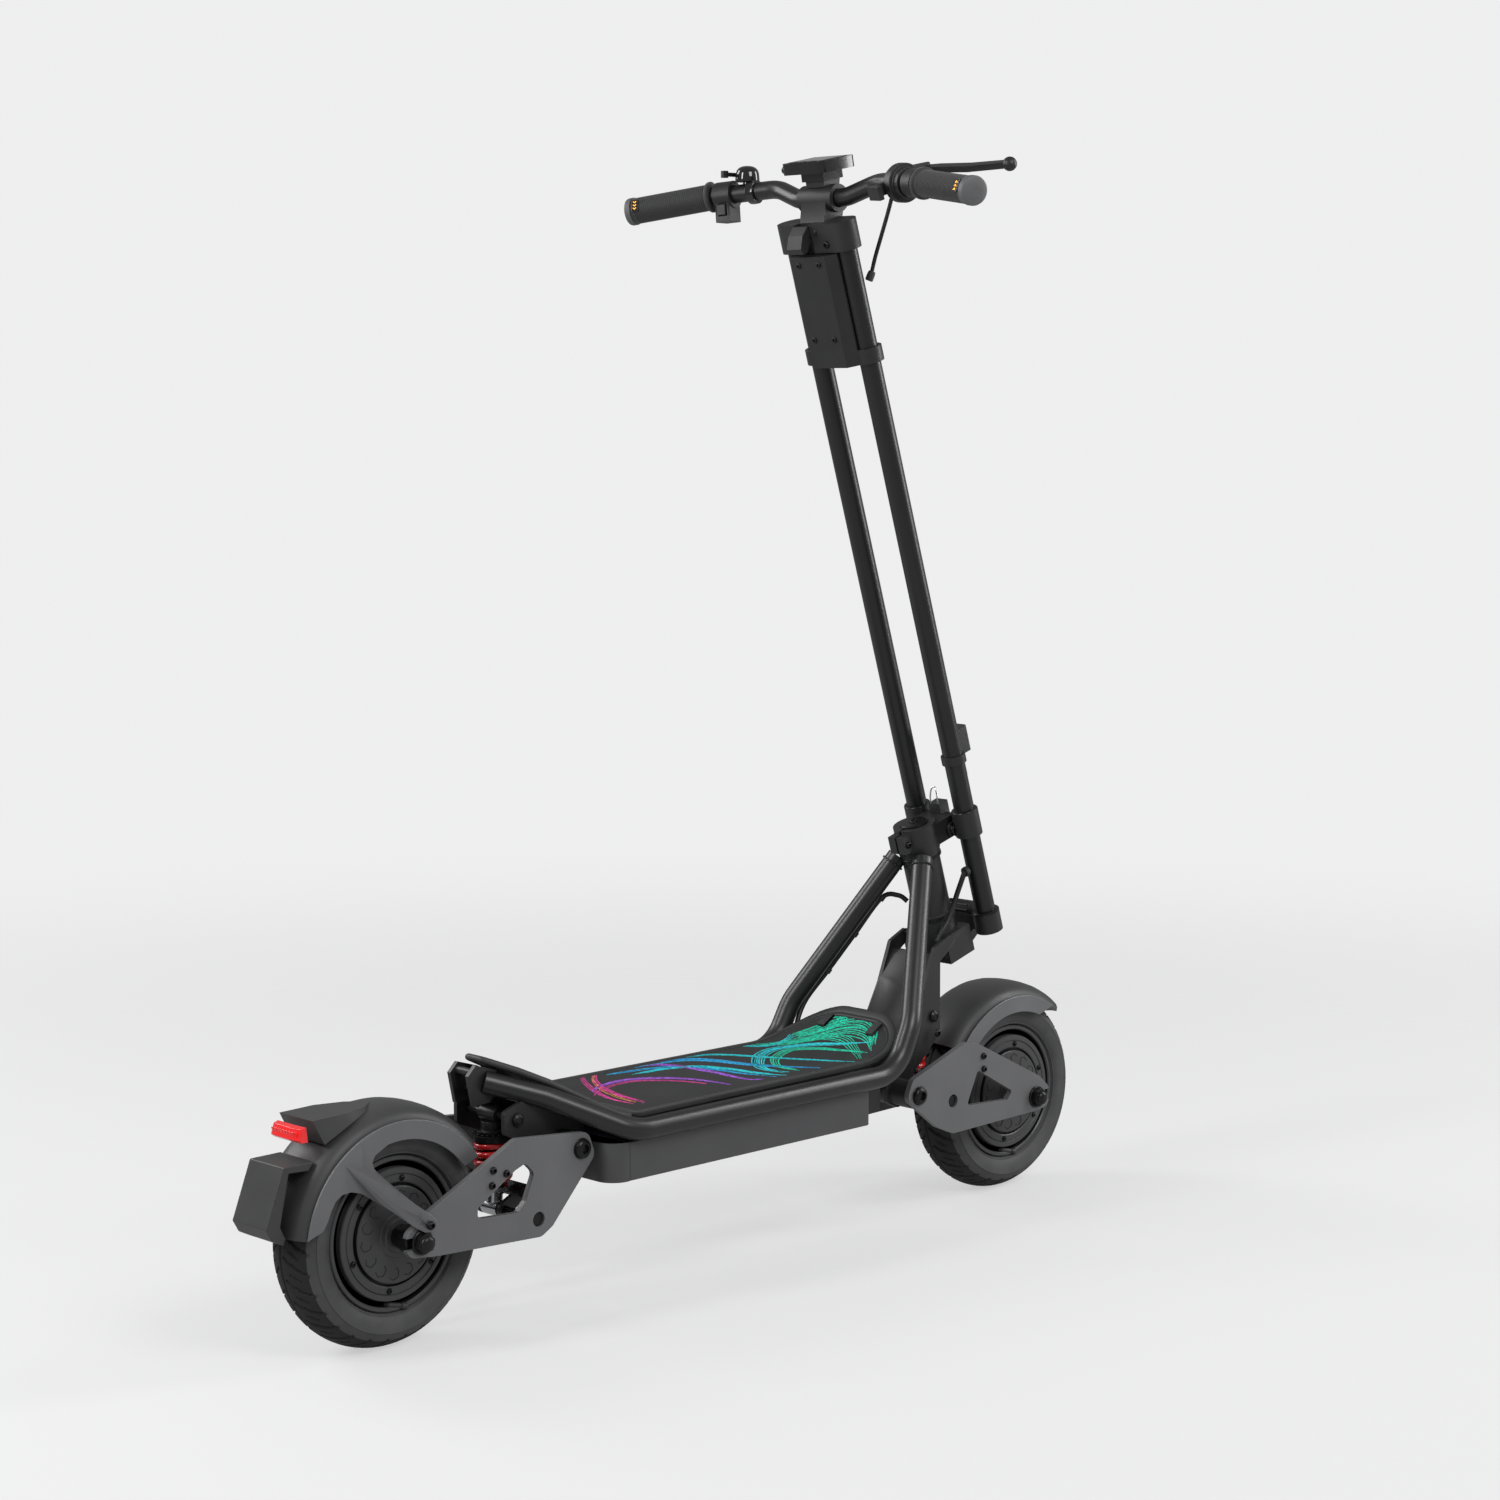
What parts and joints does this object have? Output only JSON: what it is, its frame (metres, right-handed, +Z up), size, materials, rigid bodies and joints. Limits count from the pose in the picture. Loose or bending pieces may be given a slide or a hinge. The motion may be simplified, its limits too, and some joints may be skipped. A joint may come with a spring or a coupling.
{
  "type": "electric kick scooter",
  "caption": "Folding electric kick scooter with a twin-tube stem, swingarm suspension at both ends, hub-motor wheels, a flat deck with a battery case and a kick tail.",
  "frame": {"origin": "on the ground under the centre of the overall footprint", "axes": "+X forward along the deck, +Y to the rider's left, +Z up"},
  "size_m": [1.41, 0.638, 1.423],
  "materials": {
    "frame_paint": "gloss black paint",
    "cast_black": "satin black powder coat",
    "plate_grey": "satin dark grey anodised plate",
    "stay_grey": "satin grey paint",
    "tube_black": "black anodised tube",
    "hub_grey": "satin graphite paint",
    "steel_dark": "black oxide steel",
    "steel": "ground steel",
    "tyre": "rubber with moulded tread",
    "grip_rubber": "soft ribbed rubber",
    "mat": "grained rubber with printed line pattern",
    "cable": "cable jacket",
    "plastic_black": "fine grained moulding",
    "plastic_gloss": "gloss moulding",
    "case_grey": "satin dark grey paint",
    "spring_red": "red powder coat",
    "lens_red": "red lens",
    "cell_wrap": "heat-shrink wrap"
  },
  "bodies": {
    "frame": {"frame_tubes": "frame_paint", "head_tube": "frame_paint", "headset_bearings": "steel", "frame_cross": "cast_black", "deck_plate": "cast_black", "deck_mat": "mat", "battery_case": "case_grey", "battery_end_cap": "case_grey", "battery_pack": "cell_wrap", "controller_case": "plastic_black", "frame_cables": "cable"},
    "kickstand": {"kickstand": "cast_black"},
    "rear_arm": {"rear_arm_plates": "plate_grey", "rear_arm_bridge": "cast_black", "rear_arm_bolts": "steel_dark", "rear_axle": "steel", "rear_mudguard": "plastic_black", "mudguard_stays": "stay_grey", "plate_holder": "plate_grey", "tail_light": "lens_red"},
    "rear_wheel": {"rear_tyre": "tyre", "rear_hub": "hub_grey"},
    "rear_shock_body": {"rear_shock_body": "steel_dark", "rear_spring": "spring_red"},
    "rear_shock_rod": {"rear_shock_rod": "steel"},
    "fork": {"fork_steerer": "steel", "fork_body": "cast_black", "upper_crown": "cast_black", "hinge_pin": "steel"},
    "latch": {"latch_hook": "cast_black"},
    "front_arm": {"front_arm_plates": "plate_grey", "front_arm_bridge": "cast_black", "front_arm_bolts": "steel_dark", "front_axle": "steel", "front_mudguard": "plastic_black"},
    "front_wheel": {"front_tyre": "tyre", "front_hub": "hub_grey"},
    "front_shock_body": {"front_shock_body": "steel_dark", "front_spring": "spring_red"},
    "front_shock_rod": {"front_shock_rod": "steel"},
    "stem": {"stem_tubes": "tube_black", "hinge_collars": "cast_black", "lower_yoke": "cast_black", "stem_cable": "cable", "headlight": "plastic_black", "stem_box": "plastic_black", "top_yoke": "cast_black", "handlebar": "frame_paint", "grips": "grip_rubber", "display": "plastic_gloss", "throttle_housing": "plastic_black", "brake_mount": "cast_black", "brake_hose": "cable", "bell": "plastic_gloss", "switch_pod": "plastic_black"},
    "fold_hook": {"fold_hook": "cast_black"},
    "throttle": {"throttle_paddle": "plastic_black"},
    "brake_lever": {"brake_lever": "cast_black"},
    "bell_striker": {"bell_striker": "steel_dark"},
    "switch_button": {"switch_button": "plastic_black"}
  },
  "joints": [
    {"name": "steer", "type": "hinge", "parent": "frame", "child": "fork", "pos_m": [0.418, 0, 0.487], "axis": [-0.2957, 0, 0.9553], "range_deg": [-40, 40]},
    {"name": "fold", "type": "hinge", "parent": "fork", "child": "stem", "pos_m": [0.46535, 0, 0.52678], "axis": [0, -1, 0], "range_deg": [0, 84], "deforming": ["stem_cable"]},
    {"name": "latch", "type": "hinge", "parent": "fork", "child": "latch", "pos_m": [0.47086, 0, 0.35681], "axis": [0, 1, 0], "range_deg": [0, 32]},
    {"name": "front_suspension", "type": "hinge", "parent": "fork", "child": "front_arm", "pos_m": [0.326, 0, 0.179], "axis": [0, -1, 0], "range_deg": [0, 9], "stiffness_Nm_per_rad": 420, "springref_deg": -20.05},
    {"name": "rear_suspension", "type": "hinge", "parent": "frame", "child": "rear_arm", "pos_m": [-0.275, 0, 0.209], "axis": [0, 1, 0], "range_deg": [0, 9], "stiffness_Nm_per_rad": 420, "springref_deg": -20.05},
    {"name": "front_shock_tilt", "type": "hinge", "parent": "fork", "child": "front_shock_body", "pos_m": [0.397, 0, 0.272], "axis": [0, 1, 0], "range_deg": [-1.1, 0]},
    {"name": "front_shock_travel", "type": "slide", "parent": "front_shock_body", "child": "front_shock_rod", "axis": [0.027, 0, 0.9996], "range_m": [0, 0.0112], "deforming": ["front_spring"]},
    {"name": "rear_shock_tilt", "type": "hinge", "parent": "frame", "child": "rear_shock_body", "pos_m": [-0.346, 0, 0.25], "axis": [0, 1, 0], "range_deg": [0, 6]},
    {"name": "rear_shock_travel", "type": "slide", "parent": "rear_shock_body", "child": "rear_shock_rod", "axis": [-0.0172, 0, 0.9999], "range_m": [0, 0.0116], "deforming": ["rear_spring"]},
    {"name": "front_wheel_spin", "type": "hinge", "parent": "front_arm", "child": "front_wheel", "pos_m": [0.566, 0, 0.14], "axis": [0, 1, 0], "continuous": true},
    {"name": "rear_wheel_spin", "type": "hinge", "parent": "rear_arm", "child": "rear_wheel", "pos_m": [-0.522, 0, 0.14], "axis": [0, 1, 0], "continuous": true},
    {"name": "kickstand", "type": "hinge", "parent": "frame", "child": "kickstand", "pos_m": [-0.106, 0.114, 0.185], "axis": [0, -1, 0], "range_deg": [0, 95]},
    {"name": "brake_lever", "type": "hinge", "parent": "stem", "child": "brake_lever", "pos_m": [0.258, -0.15, 1.398], "axis": [0.4067, 0, -0.9135], "range_deg": [0, 20], "stiffness_Nm_per_rad": 0.6, "springref_deg": -5.73},
    {"name": "throttle", "type": "hinge", "parent": "stem", "child": "throttle", "pos_m": [0.22729, -0.13007, 1.38128], "axis": [-0.2466, -0.9667, -0.069], "range_deg": [0, 25], "stiffness_Nm_per_rad": 0.2, "springref_deg": -8.59},
    {"name": "switch_button", "type": "slide", "parent": "stem", "child": "switch_button", "axis": [0.969, 0.2472, 0], "range_m": [0, 0.001], "stiffness_N_per_m": 300, "springref_m": -0.001},
    {"name": "bell_striker", "type": "hinge", "parent": "stem", "child": "bell_striker", "pos_m": [0.228, 0.156, 1.402], "axis": [0, 0, 1], "range_deg": [0, 15], "stiffness_Nm_per_rad": 0.05, "springref_deg": -5.73},
    {"name": "fold_hook", "type": "hinge", "parent": "stem", "child": "fold_hook", "pos_m": [0.20227, 0, 1.32257], "axis": [0, 1, 0], "range_deg": [0, 25], "stiffness_Nm_per_rad": 0.3, "springref_deg": -11.46}
  ],
  "couplings": [
    {"joint": "front_shock_travel", "follows": "front_suspension", "m_per_rad": 0.069356},
    {"joint": "front_shock_tilt", "follows": "front_suspension", "ratio": -0.10709},
    {"joint": "rear_shock_travel", "follows": "rear_suspension", "m_per_rad": 0.0723},
    {"joint": "rear_shock_tilt", "follows": "rear_suspension", "ratio": 0.65073}
  ]
}
